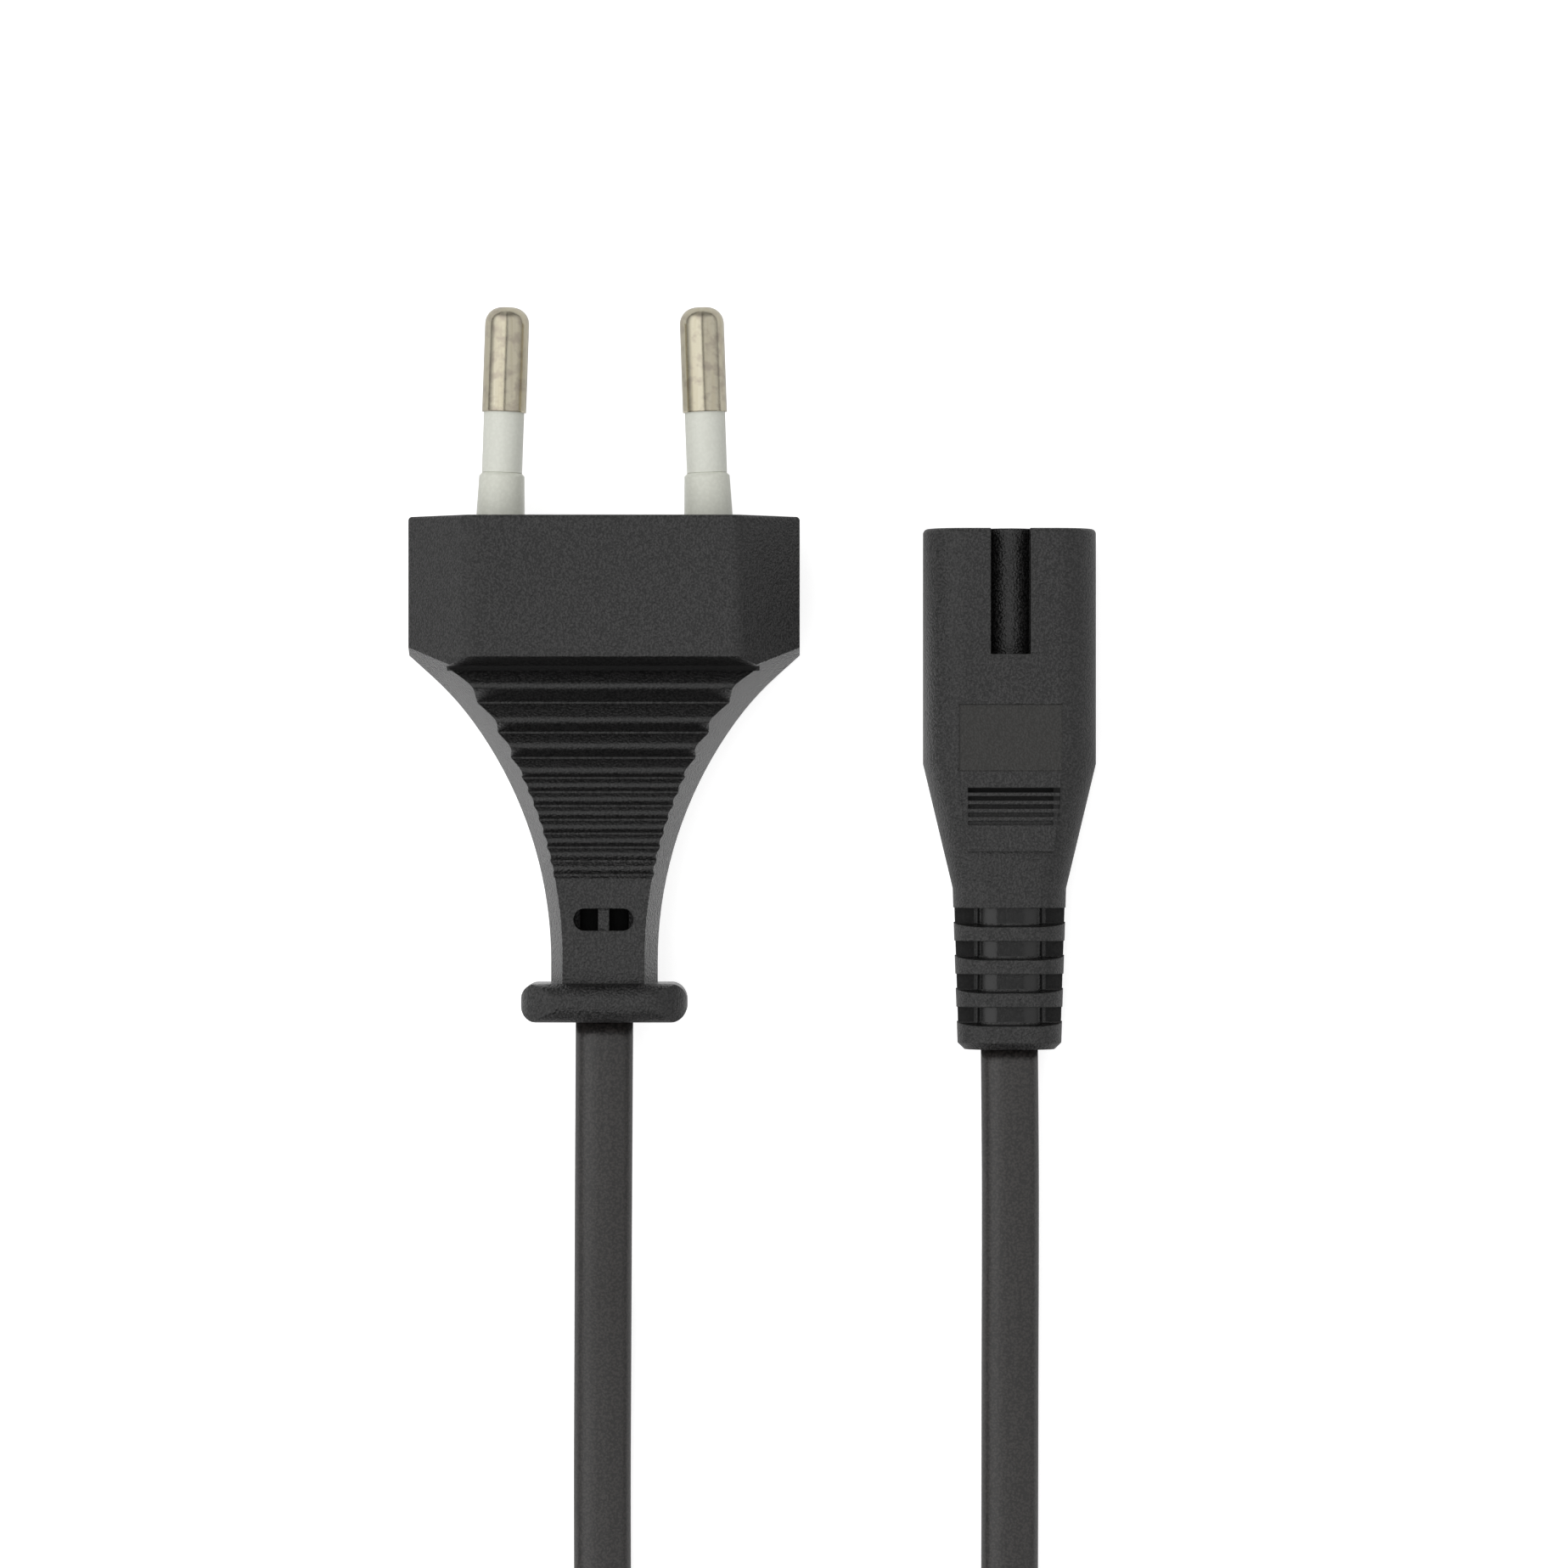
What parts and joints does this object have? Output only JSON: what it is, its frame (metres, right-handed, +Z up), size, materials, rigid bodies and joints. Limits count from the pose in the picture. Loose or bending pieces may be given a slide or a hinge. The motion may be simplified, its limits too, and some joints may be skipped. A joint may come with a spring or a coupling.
{
  "type": "figure eight power lead",
  "caption": "Black mains lead with a flat two-pin plug, a flat cord and a figure-eight connector, lying flat with its spare length coiled and tied.",
  "frame": {"origin": "on the table, under the middle of the box round the plug and the connector, without the cord", "axes": "+X from the plug towards the connector, +Y out of both mating faces, +Z up from the table"},
  "size_m": [0.0712, 0.2182, 0.0137],
  "materials": {
    "moulding": "fine-grained black moulding",
    "insert": "pale grey-green hard plastic",
    "sleeve": "pale insulating sleeve",
    "pin_metal": "nickel plate, lightly streaked",
    "carrier": "black hard plastic",
    "contact_metal": "plated spring brass",
    "core_brown": "brown core insulation",
    "core_blue": "blue core insulation",
    "conductor": "copper",
    "cord_sheath": "satin black sheath",
    "tie": "black coated wire tie"
  },
  "bodies": {
    "root": {"plug_body": "moulding", "pin_bridge": "insert", "pin_left": "pin_metal", "pin_right": "pin_metal", "pin_sleeve_left": "sleeve", "pin_sleeve_right": "sleeve", "plug_core_brown": "core_brown", "plug_core_blue": "core_blue", "plug_wire_right": "conductor", "plug_wire_left": "conductor", "plug_sheath_end": "cord_sheath", "connector_body": "moulding", "contact_carrier": "carrier", "contact_left": "contact_metal", "contact_right": "contact_metal", "connector_core_brown": "core_brown", "connector_core_blue": "core_blue", "connector_wire_right": "conductor", "connector_wire_left": "conductor", "connector_sheath_end": "cord_sheath", "cord_plug_run": "cord_sheath", "cord_coil": "cord_sheath", "cord_connector_run": "cord_sheath", "coil_tie": "tie"}
  },
  "joints": []
}
